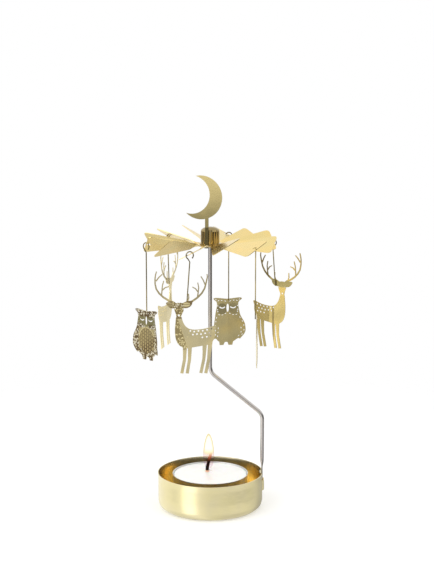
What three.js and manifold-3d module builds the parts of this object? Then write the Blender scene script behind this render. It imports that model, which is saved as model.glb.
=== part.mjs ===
import * as THREE from "three";
import { mergeVertices } from "three/addons/utils/BufferGeometryUtils.js";
import Module from "manifold-3d";

// Candle carousel. A tealight stands in a drawn cup, and a wire rod clipped into the cup's wall
// carries a needle point over the flame. The rotor's cap turns on that needle: warm air lifts the
// pitched blades, and six hangers, each a wire hook with a thin etched figure, swing round with it.
// Lengths are in millimetres, +Z is up, and the origin is the centre of the cup's underside.
// A name that ends in Degrees is an angle, one in Count or Steps a number of copies or facets,
// and one in share or shares has no unit.

const wasm = await Module();
wasm.setup();

// Clearances
const seatGap = 0.3;
const slideGap = 0.15;
const cutOverrun = 2;
const weldTolerance = 0.0001;

// Cup
const cupRadius = 26.35;
const cupHeight = 18;
const cupSheet = 0.4;
const cupCornerRadius = 4;
const cupRimFlare = 0.25;
const cupRimFlareHeight = 1.4;
const cupCornerSteps = 3;
const cupAroundSteps = 48;

// Clip in the cup's wall: a strap between two slits bulges out, and the rim above it goes in
const clipSlitHeight = 8.8;
const clipStrapHeight = 5.4;
const clipSlit = 0.3;
const clipWidth = 7.6;
const clipSteps = 10;
const clipFlatShare = 0.5;

// Stand rod
const rodDiameter = 2;
const rodUpperBendHeight = 69.6;
const rodLowerBendHeight = 48;
const rodBendRadius = 6;
const rodBendSteps = 6;
const rodFootWidth = 3.2;
const rodFootThickness = 0.8;
const rodFootTop = 20;
const rodRoundFrom = 25;
const rodFlattenSteps = 4;
const needleHeight = 142;
const needleLength = 7;
const needleTipDiameter = 0.2;
const rodSides = 12;
const footSquareShare = 0.55;

// Tealight
const tealightDiameter = 37.5;
const tealightHeight = 17;
const tealightSheet = 0.3;
const tealightCorner = 1;
const tealightRimFlare = 0.3;
const tealightRimHeight = 0.8;
const waxDepthBelowRim = 0.5;
const waxDomeRise = 1.5;
const waxDomeShares = [0.9, 0.7, 0.4];
const tealightAroundSteps = 36;

// Wick and its sustainer
const wickDiameter = 1.3;
const wickStandOut = 7.6;
const wickLean = 1.5;
const wickSteps = 6;
const wickSides = 8;
const sustainerDiameter = 12;
const sustainerSheet = 0.3;
const sustainerNeckHeight = 2.6;
const sustainerNeckWall = 0.4;
const sustainerAroundSteps = 24;

// Rotor
const rotorSheet = 0.3;
const rotorFlatRadius = 7.4;
const rotorDiscSteps = 48;
const bladeRootRadius = 6.2;
const bladeTwistEnd = 12;
const bladeTipRadius = 32.3;
const bladeCornerRadius = 2.2;
const bladeGap = 0.9;
const bladeTwistSteps = 5;
const bladeSpanSteps = 2;
const bladeCornerSteps = 3;
const bladeStartDegrees = 15;

// Each blade is bent by hand, so its pitch and its rise differ a little from the next one's
const bladePitchDegrees = [30, 25, 27, 30, 30, 35, 35, 36, 28, 30, 23, 23];
const bladeRiseDegrees = [3, 3, 3, 5, 4, 3, 3, 3, 1, 8, 3, 3];
const bladeCount = bladePitchDegrees.length;

// Hub cap
const hubBarrelDiameter = 9.2;
const hubBarrelHeight = 7;
const hubDomeRise = 2.1;
const hubCrown = 0.6;
const hubWall = 0.5;
const hubFlangeDiameter = 10.4;
const hubFlangeThickness = 0.5;
const hubSkirtDepth = 0.5;
const hubLipDiameter = 10;
const hubDomeSteps = 4;
const hubAroundSteps = 28;
const needleSeatDiameter = 2.6;
const needleSeatDepth = 1.4;

// Moon finial
const moonSheet = 0.4;
const moonRadius = 10.7;
const moonInnerRadius = 9.4;
const moonInnerOffset = 4.9;
const moonInnerRise = 1.3;
const moonRise = 24;
const moonStemWidth = 1.75;
const moonStemOffset = 3;
const moonStemRadius = 6;
const moonFootLength = 1.2;
const moonAroundSteps = 28;
const moonFacingDegrees = 255;

// Hangers: wire hooks whose rings pass through a hole near a blade's edge
const hangerBladeStep = 2;
const hookWireDiameter = 0.6;
const hookRingDiameter = 4.3;
const hookRingSteps = 12;
const hookNeckLength = 1.2;
const hookSides = 6;
const hookRingEndDegrees = -50;
const hookRingStartDegrees = -120;
const hookHoleDiameter = 2.4;
const hookHoleSteps = 14;
const hookEdgeStrip = 0.5;
const hookRingSlip = 0.75;
const hookRingAside = 0.8;
const hookRingDrop = 1.3;
const hangerTurnDegrees = [135, 127, 127, 127, 127, 135];
const figureTwistDegrees = [9, 14, 10.5, 4, 12, 0];
const hangerDrops = [21.7, 33.7, 24.4, 32.6, 24.8, 32.8];

// Figures
const figureSheet = 0.3;
const figureSplineSteps = 2;
const owlSlotSteps = 4;
const figureHoleSteps = 5;
const deerWidth = 29.7;
const deerHeight = 49.9;
const deerWireLean = 1.6;
const antlerRootWidth = 1.15;
const antlerTipWidth = 0.45;
const antlerTineWidth = 0.62;
const deerLegWidth = 1.5;
const deerThighWidth = 2.2;
const deerHoofWidth = 1.5;
const deerNoseDiameter = 1.1;
const deerBrowDiameter = 0.6;
const deerSpotDiameter = 0.95;
const owlWidth = 16.6;
const owlHeight = 25;
const owlWireOverlap = 0.8;
const owlWireAside = 0.4;
const owlEyeWidth = 2.9;
const owlEyeDrop = 0.65;
const owlEyeStroke = 0.55;
const owlBeakWidth = 1.35;
const owlBeakHeight = 4.4;
const owlSlotLength = 1.25;
const owlSlotWidth = 0.42;
const owlDotDiameter = 0.62;

// Worked out from the sizes above
const cupWallRadius = cupRadius - cupSheet / 2;
const clipOffset = rodFootThickness / 2 + seatGap + cupSheet / 2;
const clipHalfAngle = Math.asin(clipWidth / 2 / cupWallRadius);
const clipTopSlitHeight = clipSlitHeight + clipStrapHeight;
const bladePitchAngle = (2 * Math.PI) / bladeCount;
const needleSeatRise = hubBarrelHeight + hubDomeRise - hubCrown;
const rotorHeight = needleHeight + seatGap - needleSeatRise;
const hookWireRadius = hookWireDiameter / 2;
const hookRingRadius = hookRingDiameter / 2 - hookWireRadius;
const hookHoleRadius = bladeTipRadius - hookEdgeStrip - hookHoleDiameter / 2;
const hookStripRadius = bladeTipRadius - hookEdgeStrip / 2;
const hangerCount = bladeCount / hangerBladeStep;
const figureBack = -(hookWireRadius + seatGap);

// Deer, seen from its etched side with the head on the left: shares of its width and height
const deerBodyShares = [
  [0.35, 0.56], [0.338, 0.51], [0.328, 0.45], [0.33, 0.38], [0.348, 0.33], [0.385, 0.29],
  [0.448, 0.262], [0.53, 0.252], [0.6, 0.257], [0.69, 0.264], [0.775, 0.271], [0.866, 0.279],
  [0.93, 0.305], [0.96, 0.337], [0.98, 0.375], [0.978, 0.42], [1, 0.459], [0.968, 0.463],
  [0.924, 0.455], [0.866, 0.444], [0.76, 0.433], [0.645, 0.43], [0.563, 0.439], [0.508, 0.461],
  [0.467, 0.496], [0.443, 0.535], [0.43, 0.56],
];
const deerHeadShares = [
  [0.395, 0.695], [0.345, 0.69], [0.318, 0.665], [0.318, 0.63], [0.336, 0.6], [0.348, 0.572],
  [0.36, 0.548], [0.39, 0.541], [0.42, 0.55], [0.434, 0.575], [0.455, 0.6], [0.472, 0.63],
  [0.468, 0.667], [0.445, 0.69],
];
const deerLeftEarShares = [
  [0.35, 0.668], [0.3, 0.69], [0.245, 0.702], [0.184, 0.698], [0.215, 0.665], [0.265, 0.645],
  [0.325, 0.645],
];
const deerRightEarShares = [
  [0.44, 0.67], [0.49, 0.692], [0.545, 0.7], [0.61, 0.692], [0.585, 0.66], [0.53, 0.642],
  [0.46, 0.645],
];
const deerLegShares = [
  [[0.487, 0.29], [0.484, 0.21], [0.479, 0.14], [0.434, 0.008]],
  [[0.566, 0.29], [0.565, 0.21], [0.56, 0.14], [0.522, 0.006]],
  [[0.808, 0.3], [0.802, 0.21], [0.793, 0.14], [0.744, 0.004]],
  [[0.9, 0.31], [0.882, 0.21], [0.872, 0.14], [0.824, 0]],
];
const antlerBeamShares = [
  [[0.36, 0.675], [0.29, 0.704], [0.226, 0.72], [0.145, 0.752], [0.078, 0.79], [0.032, 0.833],
    [0.014, 0.883], [0.013, 0.933], [0.022, 0.968], [0.038, 1]],
  [[0.44, 0.675], [0.525, 0.698], [0.6, 0.702], [0.69, 0.738], [0.762, 0.78], [0.808, 0.826],
    [0.828, 0.87], [0.842, 0.905], [0.852, 0.935], [0.846, 0.962]],
];
const antlerTineShares = [
  [[0.028, 0.908], [0.072, 0.942], [0.128, 0.972]],
  [[0.116, 0.77], [0.124, 0.82], [0.13, 0.862], [0.152, 0.91]],
  [[0.128, 0.82], [0.175, 0.844], [0.23, 0.853]],
  [[0.28, 0.702], [0.258, 0.74], [0.26, 0.788]],
  [[0.816, 0.862], [0.785, 0.905], [0.748, 0.942]],
  [[0.692, 0.742], [0.704, 0.79], [0.712, 0.835], [0.697, 0.883]],
  [[0.704, 0.79], [0.66, 0.826], [0.61, 0.842]],
  [[0.53, 0.7], [0.553, 0.738], [0.548, 0.778]],
];
const deerWireEndShares = [0.52, 0.645];
const deerNoseShares = [0.39, 0.573];
const deerBrowShares = [[0.334, 0.64], [0.46, 0.634]];
const deerSpotShares = [
  [0.575, 0.419], [0.638, 0.411], [0.706, 0.416], [0.776, 0.417], [0.846, 0.424], [0.914, 0.433],
  [0.617, 0.382], [0.682, 0.386], [0.748, 0.384], [0.815, 0.391], [0.88, 0.394], [0.77, 0.352],
  [0.842, 0.356], [0.906, 0.362],
];

// Owl: the right half of its outline, as shares of half its width and of its height
const owlHalfShares = [
  [0, 0.978], [0.24, 0.984], [0.5, 0.995], [0.78, 1], [0.9, 0.985], [0.84, 0.955],
  [0.72, 0.925], [0.67, 0.87], [0.69, 0.8], [0.74, 0.72], [0.78, 0.65], [0.85, 0.57], [0.94, 0.49],
  [1, 0.39], [1, 0.29], [0.94, 0.2], [0.84, 0.125],
];
const owlHemShares = [
  [0.84, 0.125], [0.7, 0.14], [0.56, 0.1], [0.44, 0.072],
];
const owlFootShares = [
  [0.44, 0.072], [0.4, 0], [0.16, 0], [0.09, 0.06], [0, 0.068],
];
// The owl leans: how far each height is set aside, as shares of its height and its width
const owlSwayShares = [[0, 0.052], [0.07, 0.046], [0.3, -0.068], [0.42, -0.062], [0.68, 0], [1, 0]];
const owlEyeShares = [0.34, 0.808];
const owlLidShares = [[-0.5, 0], [-0.25, 0.75], [0, 1], [0.25, 0.75], [0.5, 0]];
const owlBeakUpShare = 0.787;
const owlSlotShares = [
  [0.14, 0.668, 160], [0.34, 0.64, 175], [0.54, 0.645, 20], [0.74, 0.58, 115], [0.84, 0.5, 110],
  [0.9, 0.41, 95], [0.9, 0.31, 82], [0.84, 0.22, 70], [0.72, 0.36, 100], [0.73, 0.27, 85],
  [0.66, 0.19, 60], [0.16, 0.93, 30], [0.38, 0.945, 175], [0.58, 0.94, 160],
];
const owlDotShares = [[0.62, 0.83], [0.64, 0.75], [0.74, 0.965], [0.62, 0.71]];

// Colours from the photograph, as base colour, roughness and metalness
const finishes = {
  champagne: { color: 0xe3d8a4, roughness: 0.28, metalness: 0.95 },
  steel: { color: 0xa9a5a0, roughness: 0.22, metalness: 1 },
  aluminium: { color: 0xd9d9d6, roughness: 0.3, metalness: 1 },
  wax: { color: 0xfaf8f1, roughness: 0.45, metalness: 0 },
  wick: { color: 0x35261c, roughness: 0.9, metalness: 0 },
  sheetGold: { color: 0xdccb92, roughness: 0.3, metalness: 0.95 },
  brass: { color: 0xd8c170, roughness: 0.12, metalness: 1 },
  wireGold: { color: 0xa69763, roughness: 0.3, metalness: 0.95 },
  figureGold: { color: 0xb8a970, roughness: 0.35, metalness: 0.9 },
};

const carousel = new THREE.Group();
carousel.name = "candle_carousel";

function addPiece(group, name, geometry, finish) {
  const mesh = new THREE.Mesh(geometry, new THREE.MeshStandardMaterial(finishes[finish]));
  mesh.name = name;
  group.add(mesh);
  return mesh;
}

// Solids and their joins and cuts

function smoothstep(value, low, high) {
  const t = Math.min(Math.max((value - low) / (high - low), 0), 1);
  return t * t * (3 - 2 * t);
}

function weld(geometry) {
  const bare = geometry.clone();
  bare.deleteAttribute("normal");
  bare.deleteAttribute("uv");
  const merged = mergeVertices(bare, weldTolerance);
  const kept = [];
  const index = merged.index.array;
  for (let i = 0; i < index.length; i += 3) {
    const [a, b, c] = index.slice(i, i + 3);
    if (a !== b && b !== c && c !== a) kept.push(a, b, c);
  }
  merged.setIndex(kept);
  return merged;
}

function solidOf(geometry) {
  const welded = weld(geometry);
  const solid = new wasm.Manifold(new wasm.Mesh({
    numProp: 3,
    vertProperties: new Float32Array(welded.attributes.position.array),
    triVerts: new Uint32Array(welded.index.array),
  }));
  if (solid.volume() > 0) return solid;
  const turned = Array.from(welded.index.array);
  for (let i = 0; i < turned.length; i += 3) {
    [turned[i], turned[i + 1]] = [turned[i + 1], turned[i]];
  }
  return new wasm.Manifold(new wasm.Mesh({
    numProp: 3,
    vertProperties: new Float32Array(welded.attributes.position.array),
    triVerts: new Uint32Array(turned),
  }));
}

function geometryOf(solid) {
  const { vertProperties, triVerts } = solid.getMesh();
  const geometry = new THREE.BufferGeometry();
  geometry.setAttribute("position", new THREE.BufferAttribute(vertProperties, 3));
  geometry.setIndex(Array.from(triVerts));
  geometry.computeVertexNormals();
  return geometry;
}

function joined(geometries) {
  return geometries.map(solidOf).reduce((whole, piece) => whole.add(piece));
}

function cutBy(solid, geometries) {
  return geometries.map(solidOf).reduce((whole, cutter) => whole.subtract(cutter), solid);
}

// A closed surface over rings of points: each ring is joined to the next one. A row of rings
// that comes round meets its first ring again, and any other is closed by a fan at each end.
function skin(rings, comesRound) {
  const positions = [];
  const quad = (a, b, c, d) => {
    for (const p of [a, b, c, a, c, d]) positions.push(p.x, p.y, p.z);
  };
  const last = comesRound ? rings.length : rings.length - 1;
  for (let i = 0; i < last; i++) {
    const ring = rings[i];
    const next = rings[(i + 1) % rings.length];
    for (let j = 0; j < ring.length; j++) {
      const k = (j + 1) % ring.length;
      quad(ring[j], next[j], next[k], ring[k]);
    }
  }
  if (!comesRound) {
    for (const [ring, turned] of [[rings[0], false], [rings[rings.length - 1], true]]) {
      const middle = new THREE.Vector3();
      for (const p of ring) middle.addScaledVector(p, 1 / ring.length);
      for (let j = 0; j < ring.length; j++) {
        const pair = [ring[j], ring[(j + 1) % ring.length]];
        if (turned) pair.reverse();
        for (const p of [middle, ...pair]) positions.push(p.x, p.y, p.z);
      }
    }
  }
  const geometry = new THREE.BufferGeometry();
  geometry.setAttribute("position", new THREE.Float32BufferAttribute(positions, 3));
  return geometry;
}

// A solid of revolution about Z: the profile's points are (radius, height)
function turned(profile, steps) {
  const points = profile.map(([radius, height]) => new THREE.Vector2(radius, height));
  return geometryOf(solidOf(new THREE.LatheGeometry(points, steps).rotateX(Math.PI / 2)));
}

// A wire along a path: the section's half sizes lie across the path and along its binormal, and
// its square share goes from 1, an ellipse, towards 0, a rectangle.
function wire(path, sides, sectionAt, side) {
  let across = side.clone();
  const rings = path.map((point, i) => {
    const before = path[Math.max(i - 1, 0)];
    const after = path[Math.min(i + 1, path.length - 1)];
    const along = after.clone().sub(before).normalize();
    across = across.clone().addScaledVector(along, -across.dot(along)).normalize();
    const other = new THREE.Vector3().crossVectors(along, across);
    const { half, otherHalf, squareShare } = sectionAt(point, i);
    return Array.from({ length: sides }, (_, j) => {
      const angle = (2 * Math.PI * (j + 0.5)) / sides;
      const rounded = (v) => Math.sign(v) * Math.abs(v) ** squareShare;
      return point.clone()
        .addScaledVector(across, half * rounded(Math.cos(angle)))
        .addScaledVector(other, otherHalf * rounded(Math.sin(angle)));
    });
  });
  return skin(rings, false);
}

// A path through corners, with each corner but the ends rounded to an arc
function roundedPath(corners, radius, steps) {
  const path = [corners[0]];
  for (let i = 1; i < corners.length - 1; i++) {
    const towardsLast = corners[i - 1].clone().sub(corners[i]).normalize();
    const towardsNext = corners[i + 1].clone().sub(corners[i]).normalize();
    const half = towardsLast.angleTo(towardsNext) / 2;
    const bisector = towardsLast.clone().add(towardsNext).normalize();
    const centre = corners[i].clone().addScaledVector(bisector, radius / Math.sin(half));
    const start = corners[i].clone().addScaledVector(towardsLast, radius / Math.tan(half)).sub(centre);
    const end = corners[i].clone().addScaledVector(towardsNext, radius / Math.tan(half)).sub(centre);
    const sweep = start.angleTo(end);
    for (let s = 0; s <= steps; s++) {
      const angle = (sweep * s) / steps;
      const spot = start.clone().multiplyScalar(Math.sin(sweep - angle) / Math.sin(sweep));
      spot.addScaledVector(end, Math.sin(angle) / Math.sin(sweep));
      path.push(spot.add(centre));
    }
  }
  path.push(corners[corners.length - 1]);
  return path;
}

// Candle cup: a drawn sheet cup, with the clip's strap and rim pressed out of line at angle zero

function cupWallShift(height, angle) {
  const away = Math.abs(Math.atan2(Math.sin(angle), Math.cos(angle))) / clipHalfAngle;
  const bump = 1 - smoothstep(away, clipFlatShare, 1);
  const flare = cupRimFlare * smoothstep(height, cupHeight - cupRimFlareHeight, cupHeight);
  if (height > clipTopSlitHeight + clipSlit / 2) return flare * (1 - bump) - clipOffset * bump;
  if (height > clipSlitHeight + clipSlit / 2) return clipOffset * bump;
  return 0;
}

function cupProfile() {
  const heights = [
    clipSlitHeight, clipSlitHeight + clipSlit, clipTopSlitHeight, clipTopSlitHeight + clipSlit,
    cupHeight - cupRimFlareHeight, cupHeight,
  ];
  const outside = [[0, 0]];
  const inside = [[0, cupSheet]];
  for (let i = 0; i <= cupCornerSteps; i++) {
    const angle = (Math.PI / 2) * (i / cupCornerSteps);
    const centre = cupRadius - cupCornerRadius;
    const inner = cupCornerRadius - cupSheet;
    outside.push([
      centre + cupCornerRadius * Math.sin(angle), cupCornerRadius * (1 - Math.cos(angle)),
    ]);
    inside.push([centre + inner * Math.sin(angle), cupCornerRadius - inner * Math.cos(angle)]);
  }
  for (const height of heights) {
    outside.push([cupRadius, height]);
    inside.push([cupRadius - cupSheet, height]);
  }
  return [...outside, ...inside.reverse()];
}

function candleCup() {
  const angles = [];
  for (let i = 0; i < clipSteps; i++) angles.push(clipHalfAngle * ((2 * i) / clipSteps - 1));
  const rest = 2 * (Math.PI - clipHalfAngle);
  for (let i = 0; i < cupAroundSteps; i++) angles.push(clipHalfAngle + (rest * i) / cupAroundSteps);
  const profile = cupProfile();
  const rings = angles.map((angle) => profile.map(([radius, height]) => {
    const shifted = radius === 0 ? 0 : radius + cupWallShift(height, angle);
    return new THREE.Vector3(shifted * Math.cos(angle), shifted * Math.sin(angle), height);
  }));
  const slits = [clipSlitHeight, clipTopSlitHeight].map((height) =>
    new THREE.BoxGeometry(2 * cutOverrun, clipWidth, clipSlit)
      .translate(cupWallRadius, 0, height + clipSlit / 2));
  return geometryOf(cutBy(solidOf(skin(rings, true)), slits));
}

addPiece(carousel, "candle_cup", candleCup(), "champagne");

// Stand rod: round wire with a flattened foot in the clip and a needle point at the top

function rodSection(point) {
  const flat = point.x > cupWallRadius / 2
    ? 1 - smoothstep(point.z, rodFootTop, rodRoundFrom)
    : 0;
  const taper = Math.max(point.z - (needleHeight - needleLength), 0) / needleLength;
  const radius = THREE.MathUtils.lerp(rodDiameter, needleTipDiameter, taper) / 2;
  return {
    half: THREE.MathUtils.lerp(radius, rodFootWidth / 2, flat),
    otherHalf: THREE.MathUtils.lerp(radius, rodFootThickness / 2, flat),
    squareShare: THREE.MathUtils.lerp(1, footSquareShare, flat),
  };
}

function standRod() {
  const footHeight = clipSlitHeight + seatGap;
  const path = [new THREE.Vector3(cupWallRadius, 0, footHeight)];
  for (let i = 0; i < rodFlattenSteps; i++) {
    const height = THREE.MathUtils.lerp(rodFootTop, rodRoundFrom, i / rodFlattenSteps);
    path.push(new THREE.Vector3(cupWallRadius, 0, height));
  }
  path.push(...roundedPath([
    new THREE.Vector3(cupWallRadius, 0, rodRoundFrom),
    new THREE.Vector3(cupWallRadius, 0, rodLowerBendHeight),
    new THREE.Vector3(0, 0, rodUpperBendHeight),
    new THREE.Vector3(0, 0, needleHeight - needleLength),
  ], rodBendRadius, rodBendSteps));
  path.push(new THREE.Vector3(0, 0, needleHeight));
  return geometryOf(solidOf(wire(path, rodSides, rodSection, new THREE.Vector3(0, 1, 0))));
}

addPiece(carousel, "stand_rod", standRod(), "steel");

// Tealight: its shell stands on the cup's floor and holds the wax, the sustainer and the wick

const tealightFloor = cupSheet + tealightSheet;
const tealightRadius = tealightDiameter / 2;
const waxRadius = tealightRadius - tealightSheet - slideGap;
const waxTop = cupSheet + tealightHeight - waxDepthBelowRim;
const waxCrown = waxTop + waxDomeRise;
const neckRadius = wickDiameter / 2 + slideGap + sustainerNeckWall;

const tealight = new THREE.Group();
tealight.position.z = cupSheet;
carousel.add(tealight);

addPiece(tealight, "tealight_shell", turned([
  [0, 0],
  [tealightRadius - tealightCorner, 0],
  [tealightRadius, tealightCorner],
  [tealightRadius, tealightHeight - tealightRimHeight],
  [tealightRadius + tealightRimFlare, tealightHeight],
  [tealightRadius + tealightRimFlare - tealightSheet, tealightHeight],
  [tealightRadius - tealightSheet, tealightHeight - tealightRimHeight],
  [tealightRadius - tealightSheet, tealightCorner],
  [tealightRadius - tealightCorner, tealightSheet],
  [0, tealightSheet],
], tealightAroundSteps), "aluminium");

addPiece(carousel, "tealight_wax", turned([
  [wickDiameter / 2 + slideGap, waxCrown],
  [wickDiameter / 2 + slideGap, tealightFloor + sustainerNeckHeight + slideGap],
  [neckRadius + slideGap, tealightFloor + sustainerNeckHeight + slideGap],
  [neckRadius + slideGap, tealightFloor + sustainerSheet + slideGap],
  [sustainerDiameter / 2 + slideGap, tealightFloor + sustainerSheet + slideGap],
  [sustainerDiameter / 2 + slideGap, tealightFloor],
  [waxRadius - tealightCorner, tealightFloor],
  [waxRadius, tealightFloor + tealightCorner],
  [waxRadius, waxTop],
  ...waxDomeShares.map((out) => [waxRadius * out, waxTop + waxDomeRise * (1 - out ** 2)]),
  [wickDiameter / 2 + slideGap, waxCrown],
], tealightAroundSteps), "wax");

addPiece(carousel, "wick_sustainer", turned([
  [0, tealightFloor],
  [sustainerDiameter / 2, tealightFloor],
  [sustainerDiameter / 2, tealightFloor + sustainerSheet],
  [neckRadius, tealightFloor + sustainerSheet],
  [neckRadius, tealightFloor + sustainerNeckHeight],
  [wickDiameter / 2 + slideGap, tealightFloor + sustainerNeckHeight],
  [wickDiameter / 2 + slideGap, tealightFloor + sustainerSheet],
  [0, tealightFloor + sustainerSheet],
], sustainerAroundSteps), "aluminium");

function tealightWick() {
  const path = [new THREE.Vector3(0, 0, tealightFloor + sustainerSheet)];
  for (let i = 0; i <= wickSteps; i++) {
    const t = i / wickSteps;
    path.push(new THREE.Vector3(wickLean * t * t, 0, waxCrown + wickStandOut * t));
  }
  const section = () => ({
    half: wickDiameter / 2,
    otherHalf: wickDiameter / 2,
    squareShare: 1,
  });
  return geometryOf(solidOf(wire(path, wickSides, section, new THREE.Vector3(0, 1, 0))));
}

addPiece(carousel, "tealight_wick", tealightWick(), "wick");

// Rotor: one sheet, slit into blades that are twisted at their necks

const rotor = new THREE.Group();
rotor.position.z = rotorHeight;
carousel.add(rotor);

// A point of a blade's underside, from its distance out and its distance across, in the rotor's
// frame, with its place along the sheet's thickness
function bladePoint(blade, out, across, lift) {
  const pitch = THREE.MathUtils.degToRad(bladePitchDegrees[blade])
    * smoothstep(out, rotorFlatRadius, bladeTwistEnd);
  const rise = THREE.MathUtils.degToRad(bladeRiseDegrees[blade]);
  const past = Math.max(out - rotorFlatRadius, 0);
  const up = past * Math.sin(rise) + across * Math.sin(pitch) + lift * Math.cos(pitch);
  const side = across * Math.cos(pitch) - lift * Math.sin(pitch);
  const point = new THREE.Vector3(Math.min(out, rotorFlatRadius) + past * Math.cos(rise), side, up);
  return point.applyAxisAngle(new THREE.Vector3(0, 0, 1), bladeAngle(blade));
}

function bladeAngle(blade) {
  return THREE.MathUtils.degToRad(bladeStartDegrees) + bladePitchAngle * blade;
}

function bladeHalfWidth(out) {
  const full = (r) => r * Math.tan(bladePitchAngle / 2) - bladeGap / 2;
  const cornerStart = bladeTipRadius - bladeCornerRadius;
  if (out <= cornerStart) return full(out);
  const into = out - cornerStart;
  return full(out) - bladeCornerRadius + Math.sqrt(Math.max(bladeCornerRadius ** 2 - into ** 2, 0));
}

function bladeSheet(blade) {
  const cornerStart = bladeTipRadius - bladeCornerRadius;
  const stations = [bladeRootRadius];
  for (let i = 0; i < bladeTwistSteps; i++) {
    stations.push(THREE.MathUtils.lerp(rotorFlatRadius, bladeTwistEnd, i / bladeTwistSteps));
  }
  for (let i = 0; i < bladeSpanSteps; i++) {
    stations.push(THREE.MathUtils.lerp(bladeTwistEnd, cornerStart, i / bladeSpanSteps));
  }
  for (let i = 0; i <= bladeCornerSteps; i++) {
    stations.push(cornerStart + bladeCornerRadius * Math.sin(((Math.PI / 2) * i) / bladeCornerSteps));
  }
  const rings = stations.map((out) => {
    const half = bladeHalfWidth(out);
    return [
      bladePoint(blade, out, -half, 0),
      bladePoint(blade, out, half, 0),
      bladePoint(blade, out, half, rotorSheet),
      bladePoint(blade, out, -half, rotorSheet),
    ];
  });
  return skin(rings, false);
}

function hookHoleCutter(blade) {
  const centre = bladePoint(blade, hookHoleRadius, 0, rotorSheet / 2);
  const above = bladePoint(blade, hookHoleRadius, 0, cutOverrun);
  const cutter = new THREE.CylinderGeometry(
    hookHoleDiameter / 2, hookHoleDiameter / 2, 2 * cutOverrun, hookHoleSteps,
  );
  const turn = new THREE.Quaternion().setFromUnitVectors(
    new THREE.Vector3(0, 1, 0), above.sub(centre).normalize(),
  );
  return cutter.applyQuaternion(turn).translate(centre.x, centre.y, centre.z);
}

function rotorBlades() {
  const disc = new THREE.CylinderGeometry(
    rotorFlatRadius, rotorFlatRadius, rotorSheet, rotorDiscSteps,
  ).rotateX(Math.PI / 2).translate(0, 0, rotorSheet / 2);
  const sheets = Array.from({ length: bladeCount }, (_, blade) => bladeSheet(blade));
  const hubRadius = hubBarrelDiameter / 2 + slideGap;
  const hubHole = new THREE.CylinderGeometry(
    hubRadius, hubRadius, 2 * cutOverrun, hubAroundSteps,
  ).rotateX(Math.PI / 2);
  const stemSlot = new THREE.BoxGeometry(
    moonSheet + 2 * seatGap, moonStemWidth + 2 * seatGap, 2 * cutOverrun,
  ).translate(moonStemRadius, 0, 0).rotateZ(THREE.MathUtils.degToRad(moonFacingDegrees));
  const hookHoles = Array.from({ length: hangerCount }, (_, i) => hookHoleCutter(i * hangerBladeStep));
  return geometryOf(cutBy(joined([disc, ...sheets]), [hubHole, stemSlot, ...hookHoles]));
}

addPiece(rotor, "rotor_blades", rotorBlades(), "sheetGold");

// Hub cap: a drawn cap whose skirt passes through the disc and is rolled out under it. The
// needle stands in the seat pressed into its roof.

function hubCap() {
  const barrel = hubBarrelDiameter / 2;
  const inner = barrel - hubWall;
  const barrelTop = hubBarrelHeight;
  const roof = needleSeatRise - needleSeatDepth;
  const profile = [
    [inner, -hubSkirtDepth],
    [hubLipDiameter / 2, -hubSkirtDepth],
    [hubLipDiameter / 2, 0],
    [barrel, 0],
    [barrel, rotorSheet],
    [hubFlangeDiameter / 2, rotorSheet],
    [hubFlangeDiameter / 2, rotorSheet + hubFlangeThickness],
    [barrel, rotorSheet + hubFlangeThickness],
  ];
  for (let i = 0; i <= hubDomeSteps; i++) {
    const angle = (Math.PI / 2) * (i / hubDomeSteps);
    profile.push([
      i === hubDomeSteps ? 0 : barrel * Math.cos(angle), barrelTop + hubDomeRise * Math.sin(angle),
    ]);
  }
  profile.push(
    [0, needleSeatRise],
    [needleSeatDiameter / 2, roof],
    [inner - hubWall, roof],
    [inner, roof - hubWall],
    [inner, -hubSkirtDepth],
  );
  return turned(profile, hubAroundSteps);
}

addPiece(rotor, "hub_cap", hubCap(), "brass");

// Moon finial: a flat crescent on a stem, whose foot passes through the disc and is bent outwards

function moonFinial() {
  const moon = new THREE.Shape();
  const innerCentre = new THREE.Vector2(-moonInnerOffset, moonInnerRise);
  const apart = innerCentre.length();
  const along = (moonRadius ** 2 - moonInnerRadius ** 2 + apart ** 2) / (2 * apart);
  const turn = innerCentre.angle();
  const opening = Math.acos(along / moonRadius);
  const innerOpening = Math.acos((along - apart) / moonInnerRadius);
  moon.absarc(0, 0, moonRadius, turn + opening, turn - opening + 2 * Math.PI, false);
  moon.absarc(
    innerCentre.x, innerCentre.y, moonInnerRadius,
    turn - innerOpening + 2 * Math.PI, turn + innerOpening, true,
  );
  const crescent = new THREE.ExtrudeGeometry(moon, {
    depth: moonSheet, bevelEnabled: false, curveSegments: moonAroundSteps,
  }).translate(0, moonRise, 0);
  const footDown = -(seatGap + moonSheet);
  const stemTop = moonRise - Math.sqrt(moonRadius ** 2 - moonStemOffset ** 2) + moonStemWidth;
  const stemShape = new THREE.Shape([
    new THREE.Vector2(moonStemOffset - moonStemWidth / 2, footDown),
    new THREE.Vector2(moonStemOffset + moonStemWidth / 2, footDown),
    new THREE.Vector2(moonStemOffset + moonStemWidth / 2, stemTop),
    new THREE.Vector2(moonStemOffset - moonStemWidth / 2, stemTop),
  ]);
  const stem = new THREE.ExtrudeGeometry(stemShape, { depth: moonSheet, bevelEnabled: false });
  const foot = new THREE.BoxGeometry(moonStemWidth, moonSheet, moonFootLength + moonSheet)
    .translate(moonStemOffset, footDown + moonSheet / 2, (moonFootLength + moonSheet) / 2);
  return geometryOf(joined([crescent, stem, foot]))
    .translate(-moonStemOffset, 0, -moonSheet / 2)
    .rotateX(Math.PI / 2);
}

const moon = addPiece(rotor, "moon_finial", moonFinial(), "sheetGold");
const moonFacing = THREE.MathUtils.degToRad(moonFacingDegrees);
moon.position.set(moonStemRadius * Math.cos(moonFacing), moonStemRadius * Math.sin(moonFacing), 0);
moon.rotation.z = moonFacing + Math.PI / 2;

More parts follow.
